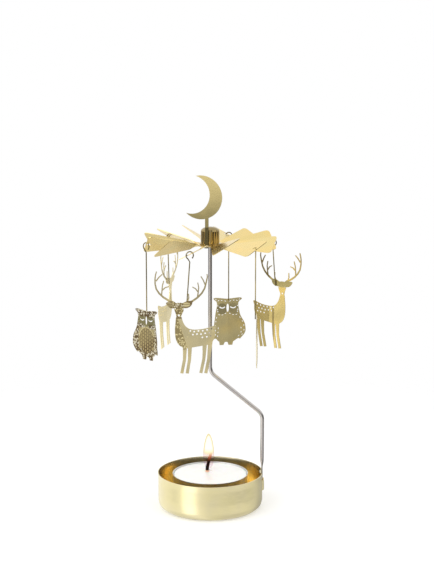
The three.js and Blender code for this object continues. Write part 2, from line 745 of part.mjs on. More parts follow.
// Hanger hooks: each hangs from its ring, and its straight foot is soldered to the figure's back.
// A hanger's frame has its origin at the ring's centre and the etched side towards minus Y, and
// the wire's twist turns the ring out of the figure's plane.

function hangerHook(drop, lean, twist) {
  const start = THREE.MathUtils.degToRad(hookRingStartDegrees);
  const end = THREE.MathUtils.degToRad(hookRingEndDegrees) - 2 * Math.PI;
  const ring = Array.from({ length: hookRingSteps + 1 }, (_, i) => {
    const angle = THREE.MathUtils.lerp(end, start, i / hookRingSteps);
    return new THREE.Vector3(Math.cos(angle), 0, Math.sin(angle))
      .multiplyScalar(hookRingRadius)
      .applyAxisAngle(new THREE.Vector3(0, 0, 1), twist);
  });
  const foot = new THREE.Vector3(-lean, 0, -drop);
  const neck = new THREE.Vector3(0, 0, -(hookRingRadius + hookNeckLength));
  const path = [...ring, neck, foot];
  const section = () => ({
    half: hookWireRadius,
    otherHalf: hookWireRadius,
    squareShare: 1,
  });
  return geometryOf(solidOf(wire(path, hookSides, section, new THREE.Vector3(0, 1, 0))));
}

// Flat figures: shapes drawn in a frame of their own, then stood upright behind their etched side

function spot([acrossShare, upShare], width, height) {
  return new THREE.Vector2(acrossShare * width, upShare * height);
}

function smoothed(points, closed) {
  const spaced = points.map((p) => new THREE.Vector3(p.x, p.y, 0));
  const spans = closed ? points.length : points.length - 1;
  const curve = new THREE.CatmullRomCurve3(spaced, closed, "centripetal");
  const found = curve.getPoints(spans * figureSplineSteps).map((p) => new THREE.Vector2(p.x, p.y));
  if (closed) found.pop();
  return found;
}

function plate(points) {
  return new THREE.ExtrudeGeometry(new THREE.Shape(points), {
    depth: figureSheet, bevelEnabled: false,
  });
}

function punch(points) {
  return new THREE.ExtrudeGeometry(new THREE.Shape(points), {
    depth: figureSheet + 2 * cutOverrun, bevelEnabled: false,
  }).translate(0, 0, -cutOverrun);
}

function roundPoints(centre, diameter, steps) {
  return Array.from({ length: steps }, (_, i) => {
    const angle = (2 * Math.PI * i) / steps;
    return new THREE.Vector2(Math.cos(angle), Math.sin(angle))
      .multiplyScalar(diameter / 2)
      .add(centre);
  });
}

// A strip along a line of points, from one width to another, as an antler or a leg is drawn
function stripPoints(line, widthAt) {
  const left = [];
  const right = [];
  line.forEach((p, i) => {
    const before = line[Math.max(i - 1, 0)];
    const after = line[Math.min(i + 1, line.length - 1)];
    const along = after.clone().sub(before).normalize();
    const normal = new THREE.Vector2(-along.y, along.x).multiplyScalar(widthAt(i / (line.length - 1)) / 2);
    left.push(p.clone().add(normal));
    right.unshift(p.clone().sub(normal));
  });
  return [...left, ...right];
}

function uprightFigure(solid, wireEnd, lean) {
  return geometryOf(solid)
    .translate(-wireEnd.x, -wireEnd.y, 0)
    .rotateX(Math.PI / 2)
    .translate(-lean, figureBack, 0);
}

function deerFigure() {
  const at = (shares) => spot(shares, deerWidth, deerHeight);
  const outline = (shares) => plate(smoothed(shares.map(at), true));
  const legWidth = (t) => t < 0.5
    ? THREE.MathUtils.lerp(deerThighWidth, deerLegWidth, 2 * t)
    : THREE.MathUtils.lerp(deerLegWidth, deerHoofWidth, 2 * t - 1);
  const beamWidth = (t) => THREE.MathUtils.lerp(antlerRootWidth, antlerTipWidth, t);
  const tineWidth = (t) => THREE.MathUtils.lerp(antlerTineWidth, antlerTipWidth, t);
  const sheet = joined([
    ...[deerBodyShares, deerHeadShares, deerLeftEarShares, deerRightEarShares].map(outline),
    ...deerLegShares.map((leg) => plate(stripPoints(leg.map(at), legWidth))),
    ...antlerBeamShares.map((beam) => plate(stripPoints(beam.map(at), beamWidth))),
    ...antlerTineShares.map((tine) => plate(stripPoints(tine.map(at), tineWidth))),
  ]);
  const pierced = cutBy(sheet, [
    punch(roundPoints(at(deerNoseShares), deerNoseDiameter, figureHoleSteps)),
    ...deerBrowShares.map((s) => punch(roundPoints(at(s), deerBrowDiameter, figureHoleSteps))),
    ...deerSpotShares.map((s) => punch(roundPoints(at(s), deerSpotDiameter, figureHoleSteps))),
  ]);
  return uprightFigure(pierced, at(deerWireEndShares), deerWireLean);
}

function swayed(point) {
  const up = point.y / owlHeight;
  const over = Math.max(owlSwayShares.findIndex(([height]) => height >= up), 1);
  const [low, lowAside] = owlSwayShares[over - 1];
  const [high, highAside] = owlSwayShares[over];
  const aside = THREE.MathUtils.lerp(lowAside, highAside, smoothstep(up, low, high)) * owlWidth;
  return new THREE.Vector2(point.x + aside, point.y);
}

function owlFigure() {
  const at = ([across, up]) => spot([across, up], owlWidth / 2, owlHeight);
  const half = [
    ...smoothed(owlHalfShares.map(at), false),
    ...smoothed(owlHemShares.map(at), false).slice(1),
    ...owlFootShares.map(at).slice(1),
  ];
  const mirrored = half.slice(1, -1).reverse().map((p) => new THREE.Vector2(-p.x, p.y));
  const sheet = solidOf(plate([...half, ...mirrored].map(swayed)));
  const wireEnd = at(owlHalfShares[0]).sub(new THREE.Vector2(owlWireAside, owlWireOverlap));
  const beak = roundPoints(new THREE.Vector2(), owlBeakHeight, 2 * figureHoleSteps)
    .map((p) => new THREE.Vector2(p.x * (owlBeakWidth / owlBeakHeight), p.y + owlBeakUpShare * owlHeight));
  const cutters = [punch(beak)];
  const eye = at(owlEyeShares);
  const lid = owlLidShares.map(([across, down]) =>
    new THREE.Vector2(eye.x + across * owlEyeWidth, eye.y - down * owlEyeDrop));
  const sides = [1, -1];
  for (const side of sides) {
    const flip = (points) => points.map((p) => new THREE.Vector2(side * p.x, p.y));
    const wound = (points) => (side > 0 ? flip(points) : flip(points).reverse());
    cutters.push(punch(wound(stripPoints(lid, () => owlEyeStroke))));
    for (const [across, up, degrees] of owlSlotShares) {
      const centre = at([across, up]);
      const turn = THREE.MathUtils.degToRad(degrees);
      const slot = roundPoints(new THREE.Vector2(), owlSlotLength, owlSlotSteps)
        .map((p) => new THREE.Vector2(p.x, p.y * (owlSlotWidth / owlSlotLength)))
        .map((p) => p.rotateAround(new THREE.Vector2(), turn).add(centre));
      cutters.push(punch(wound(slot).map(swayed)));
    }
    for (const dot of owlDotShares) {
      cutters.push(punch(wound(roundPoints(at(dot), owlDotDiameter, figureHoleSteps)).map(swayed)));
    }
  }
  return uprightFigure(cutBy(sheet, cutters), wireEnd, 0);
}

const deerShape = deerFigure();
const owlShape = owlFigure();

for (let i = 0; i < hangerCount; i++) {
  const blade = i * hangerBladeStep;
  const number = Math.floor(i / 2) + 1;
  const isDeer = i % 2 === 0;
  const hanger = new THREE.Group();
  const twist = THREE.MathUtils.degToRad(figureTwistDegrees[i]);
  const heading = bladeAngle(blade) + THREE.MathUtils.degToRad(hangerTurnDegrees[i]);
  const aside = new THREE.Vector3(-hookRingSlip, hookRingAside, -hookRingDrop);
  hanger.position.copy(bladePoint(blade, hookStripRadius, 0, rotorSheet));
  hanger.position.add(aside.applyAxisAngle(new THREE.Vector3(0, 0, 1), heading));
  hanger.rotation.z = heading - twist;
  rotor.add(hanger);
  const hook = hangerHook(hangerDrops[i], isDeer ? deerWireLean : 0, twist);
  addPiece(hanger, `hanger_hook_${i + 1}`, hook, "wireGold");
  const figure = (isDeer ? deerShape : owlShape).clone().translate(0, 0, -hangerDrops[i]);
  addPiece(hanger, isDeer ? `deer_figure_${number}` : `owl_figure_${number}`, figure, "figureGold");
}

export default carousel;
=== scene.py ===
import math

import bpy
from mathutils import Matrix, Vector

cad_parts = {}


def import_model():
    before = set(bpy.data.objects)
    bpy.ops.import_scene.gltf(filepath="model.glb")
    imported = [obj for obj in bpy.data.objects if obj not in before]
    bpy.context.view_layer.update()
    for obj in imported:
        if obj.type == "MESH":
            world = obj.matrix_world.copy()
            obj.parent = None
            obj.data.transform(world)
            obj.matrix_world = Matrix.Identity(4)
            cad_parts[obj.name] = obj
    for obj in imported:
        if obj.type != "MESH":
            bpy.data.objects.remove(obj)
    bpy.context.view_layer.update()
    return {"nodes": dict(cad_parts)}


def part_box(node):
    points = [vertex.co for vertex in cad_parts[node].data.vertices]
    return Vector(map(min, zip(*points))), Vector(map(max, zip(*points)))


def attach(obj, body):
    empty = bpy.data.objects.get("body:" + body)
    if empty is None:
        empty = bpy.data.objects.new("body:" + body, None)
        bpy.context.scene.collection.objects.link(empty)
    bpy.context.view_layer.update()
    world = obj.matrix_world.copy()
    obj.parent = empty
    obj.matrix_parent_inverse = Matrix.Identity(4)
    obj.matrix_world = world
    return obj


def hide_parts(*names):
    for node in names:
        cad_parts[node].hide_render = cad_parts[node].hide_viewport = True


# Candle carousel in Blender: the CAD nodes get their plated, etched, waxy and steel finishes, and
# a burnt wick and a flame are added. Blender's lengths are in metres, and MM is one millimetre.
# Places in the part's frame are written in millimetres.

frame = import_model()
nodes = frame["nodes"]
MM = 0.001

# Camera, fitted to the cup's and the rotor's ellipses in the photograph
CAMERA_PLACE = Vector((3.4, -682.0, 233.0)) * MM
CAMERA_PITCH = math.radians(10.1)
CAMERA_LENS = 87.1
SENSOR_WIDTH = 36.0

# Places that the finishes follow
WAX_CROWN = 18.4
CUP_MIDDLE = 9.0
CUP_LIP = (11.0, 17.0)
MOON_MIDDLE = 157.8
MOON_RADIUS = 10.7

# Each hanger's ring centre, its turn about +Z in degrees, how its sheet is bent (the place of the
# bend across the figure and its slope), and the two tones of its plating. The tones are set darker
# or paler figure by figure for how much light each figure mirrors: painted light and shade.
HANGERS = [
    ((31.21, 7.07, 134.05), 141.0, (2.45, 0.11), (222, 200, 132), (242, 212, 128)),
    ((9.41, 30.43, 134.06), 188.0, (0.3, 0.03), (196, 182, 134), (214, 192, 128)),
    ((-21.62, 23.36, 134.48), 251.5, (0.0, 0.02), (222, 208, 160), (232, 216, 166)),
    ((-31.07, -7.03, 134.04), 318.0, (1.0, -0.02), (214, 198, 146), (226, 206, 142)),
    ((-9.43, -30.46, 133.20), 10.0, (4.0, 0.015), (228, 214, 168), (240, 222, 166)),
    ((21.76, -23.47, 134.07), 90.0, (0.0, 0.0), (218, 202, 150), (230, 210, 146)),
]

# Colours as they show in the photograph, as sRGB bytes. Most finishes cloud between two tones.
CUP_OUTSIDE = (234, 222, 178), (238, 226, 174)
# The inside's second tone, paler towards the lip, is painted light
CUP_INSIDE = (249, 226, 162), (246, 236, 200)
ROTOR_GOLD = (233, 214, 150), (246, 216, 140)
# The hub's brass is darkened well below the rotor's gold: painted shade
HUB_BRASS_SHADED = (148, 132, 92), (164, 142, 94)
# The moon's tones run from a darker olive low down to a paler top, a painted reflection, and its
# stem is painted dark, a painted shade
MOON_SHADED_GOLD = (150, 138, 96), (222, 203, 142)
MOON_STEM_SHADE = (96, 88, 60)
STEEL = (196, 191, 188), (196, 190, 184)
HOOK_WIRE = (130, 121, 84), (176, 158, 104)
FOIL = (214, 214, 212), (226, 226, 222)
WAX = (253, 252, 248), (249, 248, 243)
# The wax's warm glow round the wick is painted light
WAX_GLOW = (246, 196, 158)
CHAR = (22, 15, 12), (40, 27, 20)
ETCHED_GROUND = (196, 180, 128)
ETCHED_DARK = (146, 126, 88)
ETCHED_GOLD = (250, 234, 178)
ETCHED_SILVER = (252, 244, 220)
FEATHER = (214, 194, 136)
OWL_HEAD = (142, 136, 96)
OWL_DARK = (118, 99, 72)
# The owls' darker eye discs are painted shade
OWL_EYE = (136, 128, 98)
# Painted shade: the deer's darker antlers, and a sharply bent sheet's dark fold and horn
PAINTED_DARK_SHADE = (128, 112, 74)
# The olive on a sharply bent sheet's nape is a painted reflection
PAINTED_NAPE_SHADE = (176, 166, 116)

# Tones that show on the back of a figure too, and those that mark roughly etched ground
BOTH_SIDES = (OWL_EYE, PAINTED_DARK_SHADE)
ROUGH_TONES = (ETCHED_DARK, ETCHED_GROUND, OWL_HEAD, OWL_DARK)

# Linear colours, for light
WHITE = (1.0, 1.0, 1.0, 1.0)
BLACK = (0.0, 0.0, 0.0, 1.0)
EMBER = (1.0, 0.2, 0.03, 1.0)


def colour(srgb):
    def linear(v):
        v /= 255
        return v / 12.92 if v <= 0.04045 else ((v + 0.055) / 1.055) ** 2.4

    return tuple(linear(v) for v in srgb) + (1.0,)


class Graph:
    """A short way to write a node tree."""

    def __init__(self, tree):
        self.tree = tree

    def add(self, kind, **values):
        node = self.tree.nodes.new(kind)
        for key, value in values.items():
            setattr(node, key, value)
        return node

    def put(self, socket, value):
        """Link an input to an output, or give it a constant."""
        if isinstance(value, bpy.types.NodeSocket):
            self.tree.links.new(value, socket)
        else:
            socket.default_value = value

    def fill(self, node, *values):
        """Put values in a node's first inputs."""
        for socket, value in zip(node.inputs, values):
            self.put(socket, value)

    def parts(self, vector):
        node = self.add("ShaderNodeSeparateXYZ")
        self.fill(node, vector)
        return node.outputs

    def math(self, operation, a, b=0.0, c=0.0):
        node = self.add("ShaderNodeMath", operation=operation)
        self.fill(node, a, b, c)
        return node.outputs[0]

    def product(self, first, *others):
        for other in others:
            first = self.math("MULTIPLY", first, other)
        return first

    def highest(self, first, *others):
        for other in others:
            first = self.math("MAXIMUM", first, other)
        return first

    def distance(self, a, b):
        return self.math("ABSOLUTE", self.math("SUBTRACT", a, b))

    def opposite(self, mask):
        return self.math("SUBTRACT", 1.0, mask)

    def rise(self, value, low, high, start=0.0, end=1.0):
        """Smoothly from a start, up to the value low, to an end, from the value high."""
        node = self.add("ShaderNodeMapRange", interpolation_type="SMOOTHSTEP")
        self.fill(node, value, low, high, start, end)
        return node.outputs[0]

    def fall(self, value, low, high):
        return self.rise(value, low, high, 1.0, 0.0)

    def within(self, value, low, high, soft=0.3):
        return self.product(self.rise(value, low - soft, low + soft),
                            self.fall(value, high - soft, high + soft))

    def oval(self, x, z, centre, half, low=0.92, high=1.04):
        """One inside an oval with a centre and half axes, and zero outside it."""
        ex = self.math("DIVIDE", self.math("SUBTRACT", x, centre[0]), half[0])
        ez = self.math("DIVIDE", self.math("SUBTRACT", z, centre[1]), half[1])
        squares = self.math("ADD", self.product(ex, ex), self.product(ez, ez))
        return self.fall(squares, low, high)

    def between(self, share, a, b):
        """A number from a to b."""
        node = self.add("ShaderNodeMix")
        for index, value in ((0, share), (2, a), (3, b)):
            self.put(node.inputs[index], value)
        return node.outputs[0]

    def mix(self, share, a, b):
        """A colour from a to b."""
        node = self.add("ShaderNodeMix", data_type="RGBA")
        for index, value in ((0, share), (6, a), (7, b)):
            self.put(node.inputs[index], value)
        return node.outputs[2]

    def tones(self, share, pair):
        return self.mix(share, colour(pair[0]), colour(pair[1]))

    def ramp(self, share, stops, interpolation="LINEAR"):
        """A colour along stops, each with its place from 0 to 1."""
        node = self.add("ShaderNodeValToRGB")
        node.color_ramp.interpolation = interpolation
        for element, (place, shade) in zip(node.color_ramp.elements, (stops[0], stops[-1])):
            element.position = place
            element.color = shade
        for place, shade in stops[1:-1]:
            node.color_ramp.elements.new(place).color = shade
        self.fill(node, share)
        return node.outputs[0]

    def camera_ray(self):
        return self.add("ShaderNodeLightPath").outputs["Is Camera Ray"]

    def mirrored_ray(self):
        """One for a ray that was reflected or went through something, and zero for others."""
        path = self.add("ShaderNodeLightPath").outputs
        return self.highest(path["Is Glossy Ray"], path["Is Transmission Ray"])


class Finish(Graph):
    """A new material and its node tree."""

    def __init__(self, name):
        self.material = bpy.data.materials.new(name)
        self.material.use_nodes = True
        super().__init__(self.material.node_tree)
        self.bsdf = self.tree.nodes["Principled BSDF"]

    def surface(self, values):
        """Put values in the Principled shader's inputs."""
        for name, value in values.items():
            self.put(self.bsdf.inputs[name], value)

    def show(self, shader):
        self.put(self.tree.nodes["Material Output"].inputs["Surface"], shader)

    def emission(self, tone, strength):
        node = self.add("ShaderNodeEmission")
        self.fill(node, tone, strength)
        return node.outputs[0]

    def transparent(self, tint):
        node = self.add("ShaderNodeBsdfTransparent")
        self.fill(node, tint)
        return node.outputs[0]

    def mix_shaders(self, share, a, b):
        node = self.add("ShaderNodeMixShader")
        self.fill(node, share, a, b)
        return node.outputs[0]

    def vector_math(self, operation, a, b=(0.0, 0.0, 0.0)):
        node = self.add("ShaderNodeVectorMath", operation=operation)
        self.fill(node, a, b)
        return node.outputs

    def millimetres(self, origin=(0.0, 0.0, 0.0), yaw=0.0):
        """Coordinates in millimetres from an origin, turned about Z by a yaw in degrees."""
        mapping = self.add("ShaderNodeMapping", vector_type="TEXTURE")
        mapping.inputs["Location"].default_value = [v * MM for v in origin]
        mapping.inputs["Rotation"].default_value = (0.0, 0.0, math.radians(yaw))
        mapping.inputs["Scale"].default_value = (MM, MM, MM)
        self.put(mapping.inputs["Vector"], self.add("ShaderNodeTexCoord").outputs["Object"])
        return mapping.outputs[0]

    def noise(self, vector, scale, detail, stretch=(1.0, 1.0, 1.0)):
        mapping = self.add("ShaderNodeMapping")
        mapping.inputs["Scale"].default_value = stretch
        self.put(mapping.inputs["Vector"], vector)
        node = self.add("ShaderNodeTexNoise")
        node.inputs["Scale"].default_value = scale
        node.inputs["Detail"].default_value = detail
        self.put(node.inputs["Vector"], mapping.outputs[0])
        return node.outputs["Fac"]

    def cells(self, vector, spacing):
        """The distance to the nearest point of an uneven net with a spacing in millimetres."""
        node = self.add("ShaderNodeTexVoronoi")
        node.inputs["Scale"].default_value = 1 / spacing
        self.put(node.inputs["Vector"], vector)
        return node.outputs["Distance"]

    def bump(self, height, strength, depth):
        """Bumps by a height, of which one stands for the depth in millimetres."""
        node = self.add("ShaderNodeBump")
        node.inputs["Strength"].default_value = strength
        node.inputs["Distance"].default_value = depth * MM
        self.put(node.inputs["Height"], height)
        self.surface({"Normal": node.outputs[0]})


# Corners whose places are the same to a micrometre meet, however many vertices stand there
PLACES_PER_METRE = 1e6


def smooth(obj, degrees):
    """Smooth shading up to an angle between faces. The CAD's triangles share no vertices, so each
    corner's normal is the mean of the faces that meet at its place: the vertices stay as they are.
    """
    mesh = obj.data
    mesh.shade_smooth()
    limit = math.cos(math.radians(degrees))
    meeting = {}
    corners_of = []
    for face in mesh.polygons:
        places = [mesh.vertices[i].co for i in face.vertices]
        keys = []
        for k, place in enumerate(places):
            one = places[k - 1] - place
            other = places[(k + 1) % len(places)] - place
            weight = one.angle(other, 0.0)
            key = tuple(round(v * PLACES_PER_METRE) for v in place)
            meeting.setdefault(key, []).append((face.normal.copy(), weight))
            keys.append(key)
        corners_of.append(keys)
    normals = []
    for face, keys in zip(mesh.polygons, corners_of):
        for key in keys:
            total = Vector()
            for normal, weight in meeting[key]:
                if normal.dot(face.normal) > limit:
                    total += normal * weight
            normals.append(total.normalized() if total.length > 0 else face.normal)
    mesh.normals_split_custom_set(normals)


# Metal finishes. A noise's scale is in waves per millimetre.

GRAIN_STRETCH = (1.0, 1.0, 4.0)
STREAK_STRETCH = (1.0, 1.0, 0.05)
MOON_WAVE = 6.0
STEM_EDGE = (0.1, 0.5)


def spread(roughness):
    """The least and the most of a roughness that varies."""
    return roughness - 0.03, roughness + 0.04


def sheet_metal(n, at, tone, roughness, wave_scale, wave_depth):
    """Drawn sheet: a fine grain that runs round it, between two roughnesses, and its own waves."""
    grain = n.noise(at, scale=0.3, detail=2.0, stretch=GRAIN_STRETCH)
    n.surface({
        "Base Color": tone,
        "Metallic": 1.0,
        "Roughness": n.rise(grain, 0.2, 0.8, *roughness),
    })
    waves = n.noise(at, scale=wave_scale, detail=1.0)
    n.bump(waves, strength=1.0, depth=wave_depth)


def plated(name, pair, roughness, wave_depth=0.0):
    """Plated sheet with faint clouding between two tones."""
    n = Finish(name)
    at = n.millimetres()
    tone = n.tones(n.rise(n.noise(at, scale=0.09, detail=2.0), 0.15, 0.85), pair)
    sheet_metal(n, at, tone, spread(roughness), wave_scale=0.06, wave_depth=wave_depth)
    return n.material


def cup_finish():
    """Champagne plating outside and a richer gold inside, painted paler towards the lip as painted
    light, with the drawing marks running round.
    """
    n = Finish("cup_champagne")
    at = n.millimetres()
    from_middle = n.vector_math("SUBTRACT", at, (0.0, 0.0, CUP_MIDDLE))["Vector"]
    normal = n.add("ShaderNodeNewGeometry").outputs["True Normal"]
    outward = n.vector_math("DOT_PRODUCT", from_middle, normal)["Value"]
    outer = n.tones(n.rise(n.noise(at, scale=0.08, detail=2.0), 0.3, 0.7), CUP_OUTSIDE)
    # Painted light: the inside pales from the deeper gold to near champagne towards the lip
    inner = n.tones(n.rise(n.parts(at)[2], *CUP_LIP), CUP_INSIDE)
    tone = n.mix(n.math("LESS_THAN", outward, 0.0), outer, inner)
    sheet_metal(n, at, tone, roughness=(0.2, 0.27), wave_scale=0.05, wave_depth=0.05)
    return n.material


def moon_finish():
    """The crescent's plating, painted paler at the top and darker olive lower down as a painted
    reflection, and painted dark on the stem beside the hub as painted shade.
    """
    n = Finish("moon_sheet")
    at = n.millimetres()
    z = n.parts(at)[2]
    height = n.math("ADD", z, n.product(n.noise(at, scale=0.12, detail=1.0), MOON_WAVE))
    # Painted reflection: paler towards the top, darker olive towards the bottom
    gold = n.tones(n.rise(height, MOON_MIDDLE - MOON_RADIUS, MOON_MIDDLE + MOON_RADIUS), MOON_SHADED_GOLD)
    hub_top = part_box("hub_cap")[1].z / MM
    # Painted shade: the stem below the hub's top is dark
    stem = n.fall(z, *(hub_top + edge for edge in STEM_EDGE))
    tone = n.mix(stem, gold, colour(MOON_STEM_SHADE))
    sheet_metal(n, at, tone, roughness=(0.24, 0.3), wave_scale=0.08, wave_depth=0.4)
    return n.material


def wire_finish(name, pair, roughness):
    """Drawn wire: streaks along its length and small clouding."""
    n = Finish(name)
    at = n.millimetres()
    streaks = n.noise(at, scale=1.2, detail=2.0, stretch=STREAK_STRETCH)
    n.surface({
        "Base Color": n.tones(n.rise(n.noise(at, scale=0.12, detail=3.0), 0.35, 0.65), pair),
        "Metallic": 1.0,
        "Roughness": n.rise(streaks, 0.3, 0.7, *spread(roughness)),
    })
    return n.material


# Etched figures. Their fronts, past FIGURE_FRONT from the hook's ring, are half-etched. The pattern
# is drawn in the figure's own frame, in millimetres across from the ring and down from it, and is
# shifted so that the tops of all figures of a kind stand at DEER_TOP or OWL_TOP. Ovals have a
# middle and half axes. A tone comes or goes between two heights, or two distances across.

FIGURE_FRONT = -0.85
FIGURE_ROUGHNESS = (0.27, 0.42)
FIGURE_WAVE = 0.45
ETCHING_DEPTH = 0.06

# On a sheet bent more sharply than this, a dark fold, an olive nape and a darker horn are painted
# into the colour: a painted reflection
SHARP_BEND = 0.05
FOLD_SIDES = (2.9, 1.8)
NAPE_HEIGHTS = (-25.2, -21.6)
HORN_SIDE = (-6.0, -3.0)

DEER_TOP = -7.03
DEER_MIDDLE = -5.7
DEER_HEAD = (DEER_MIDDLE, -24.9), (2.9, 4.3)
DEER_BROW = (-24.6, -24.2)
ANTLER_FOOT = (-21.9, -20.6)
ANTLER_SIDES = (4.0, 9.0)
LEFT_EAR = (-9.6, -23.0), (1.9, 1.0)
RIGHT_EAR = (-1.8, -23.3), (1.9, 1.0)
EAR_LINE = (-23.25, -22.95)
EARS_FOOT, EARS_TOP = (-25.3, -24.9), (-21.6, -21.2)
EARS_INNER, EARS_OUTER = (2.4, 2.8), (6.9, 7.3)
COLLAR = (-5.8, -29.5), (2.6, 3.0)
COLLAR_HEIGHTS = (-29.9, -29.2)
CHEST_FOOT, CHEST_TOP = (-45.5, -43.8), (-30.2, -29.8)
CHEST_SIDE = (-5.2, -32.6)
CHEST_LEAN = -0.32
BACK_HEIGHTS = (-39.4, -34.6)
BACK_EDGE = (-2.6, -1.8)

OWL_TOP = -31.25
OWL_MIDDLE = 0.6
OWL_BELLY = (OWL_MIDDLE, -46.6), (5.3, 6.4)
OWL_FACE = 0.5
OWL_ARCH = (OWL_FACE, -46.4), (5.6, 6.8)
ARCH_FOOT = (-46.0, -44.0)
OWL_NECK = (-40.6, -39.4)
OWL_BROW = (-35.4, -34.2)
OWL_FOOT = (-51.5, -49.5)
RIM_SIDES = (4.6, 6.0)
LEFT_EYE = (-2.7, -37.0), (2.7, 2.9)
RIGHT_EYE = (3.4, -37.0), (2.7, 2.9)
CHEEK_HEIGHTS = (-40.2, -38.4)
CHEEK_SIDES = (1.6, 2.2)
COLUMN_START = -0.96
COLUMN_WIDTH = 1.52
COLUMN_SHIFT = 0.37
FEATHER_LENGTH = 1.75
FEATHER_SIDES, FEATHER_ENDS = (0.14, 0.26), (0.26, 0.38)
BREAST_MIDDLE = -46.5


def figure_finish(node, hanger, pattern, pattern_top):
    """Gold sheet with gentle waves and a slight bend, in tones with painted light and shade; a
    sharply bent sheet also gets a painted reflection of a dark fold, nape and horn. The pattern
    gives the front's etching.
    """
    centre, yaw, (bend_at, bend), *plating = hanger
    n = Finish(node.replace("_figure_", "_sheet_"))
    at = n.millimetres(centre, yaw)
    x, y, z = n.parts(at)
    z = n.math("SUBTRACT", z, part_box(node)[1].z / MM - centre[2] - pattern_top)
    clouds = n.noise(at, scale=0.07, detail=1.0)
    # Besides their clouding, the plating tones carry each figure's painted light and shade
    shade = n.tones(n.rise(clouds, 0.42, 0.62), plating)
    # Painted reflection on a sharply bent sheet: a dark fold, an olive nape and a darker horn
    if bend > SHARP_BEND:
        fold = n.within(x, *(bend_at - side for side in FOLD_SIDES))
        nape = n.within(z, *NAPE_HEIGHTS)
        horn = n.product(n.rise(z, *ANTLER_FOOT), n.rise(x, *HORN_SIDE))
        for mask, share, tone in (
            (fold, 0.7, PAINTED_DARK_SHADE), (nape, 0.8, PAINTED_NAPE_SHADE), (horn, 0.55, PAINTED_DARK_SHADE),
        ):
            shade = n.mix(n.product(mask, share), shade, colour(tone))
    front = n.math("LESS_THAN", y, FIGURE_FRONT)
    etched = 0.0
    for mask, tone in pattern(n, at, x, z):
        if tone not in BOTH_SIDES:
            mask = n.product(mask, front)
        shade = n.mix(mask, shade, colour(tone))
        if tone in ROUGH_TONES:
            etched = n.highest(etched, mask)
        else:
            etched = n.product(etched, n.opposite(mask))
    n.surface({
        "Base Color": shade,
        "Metallic": 1.0,
        "Roughness": n.rise(etched, 0.0, 1.0, *FIGURE_ROUGHNESS),
    })
    bent = n.product(n.distance(x, bend_at), bend)
    raised = n.math("SUBTRACT", n.product(clouds, FIGURE_WAVE), bent)
    raised = n.math("SUBTRACT", raised, n.product(etched, ETCHING_DEPTH))
    n.bump(raised, strength=1.0, depth=1.0)
    return n.material


def speckled(n, mask, net, ground, spot):
    """Darker ground between the points of a net, and a light spot on each point. Both are given by
    the distances from a point where they begin and end, and by their tone."""
    ground_from, ground_to, ground_share, ground_tone = ground
    spot_from, spot_to, spot_tone = spot
    return [
        (n.product(mask, n.rise(net, ground_from, ground_to), ground_share), ground_tone),
        (n.product(mask, n.fall(net, spot_from, spot_to)), spot_tone),
    ]


def deer_pattern(n, at, x, z):
    """A speckled head and chest, leaf lines in the ears, a dark collar and flecks on the back."""
    aside = n.distance(x, DEER_MIDDLE)
    # Painted shade: the antlers darken further out to either side, on both sides of the sheet
    antlers = n.product(n.rise(z, *ANTLER_FOOT), n.rise(aside, *ANTLER_SIDES, 0.16, 0.41))
    down = n.math("SUBTRACT", z, CHEST_SIDE[1])
    side = n.math("MULTIPLY_ADD", down, CHEST_LEAN, CHEST_SIDE[0])
    chest = n.product(n.fall(n.math("SUBTRACT", x, side), -0.2, 0.5),
                      n.rise(z, *CHEST_FOOT), n.fall(z, *CHEST_TOP))
    around_ears = n.product(n.rise(z, *EARS_FOOT), n.fall(z, *EARS_TOP),
                            n.rise(aside, *EARS_INNER), n.fall(aside, *EARS_OUTER))
    ears = n.product(
        n.highest(n.product(n.oval(x, z, *LEFT_EAR), 0.4), n.oval(x, z, *RIGHT_EAR)),
        n.opposite(n.within(z, *EAR_LINE, 0.12)))
    head = n.oval(x, z, *DEER_HEAD)
    brow = n.product(head, n.rise(z, *DEER_BROW))
    muzzle = n.product(head, n.fall(z, *DEER_BROW))
    collar = n.product(n.within(z, *COLLAR_HEIGHTS, 0.15), n.oval(x, z, *COLLAR))
    back = n.product(n.within(z, *BACK_HEIGHTS, 0.4), n.rise(x, *BACK_EDGE))
    flecks = n.fall(n.cells(at, spacing=1.9), 0.2, 0.27)
    chest_net = n.cells(at, spacing=0.95)
    head_net = n.cells(at, spacing=0.8)
    chest_ground = (0.4, 0.52, 0.45, ETCHED_DARK)
    head_ground = (0.42, 0.54, 0.8, ETCHED_DARK)
    return [
        (antlers, PAINTED_DARK_SHADE),
        (chest, ETCHED_GROUND),
        *speckled(n, chest, chest_net, chest_ground, (0.34, 0.44, ETCHED_GOLD)),
        (n.product(around_ears, 0.95), ETCHED_DARK),
        (ears, ETCHED_GOLD),
        (head, ETCHED_GROUND),
        *speckled(n, brow, head_net, head_ground, (0.3, 0.42, ETCHED_SILVER)),
        *speckled(n, muzzle, head_net, head_ground, (0.26, 0.38, ETCHED_GOLD)),
        (collar, ETCHED_DARK),
        (n.product(back, flecks), ETCHED_GOLD),
    ]


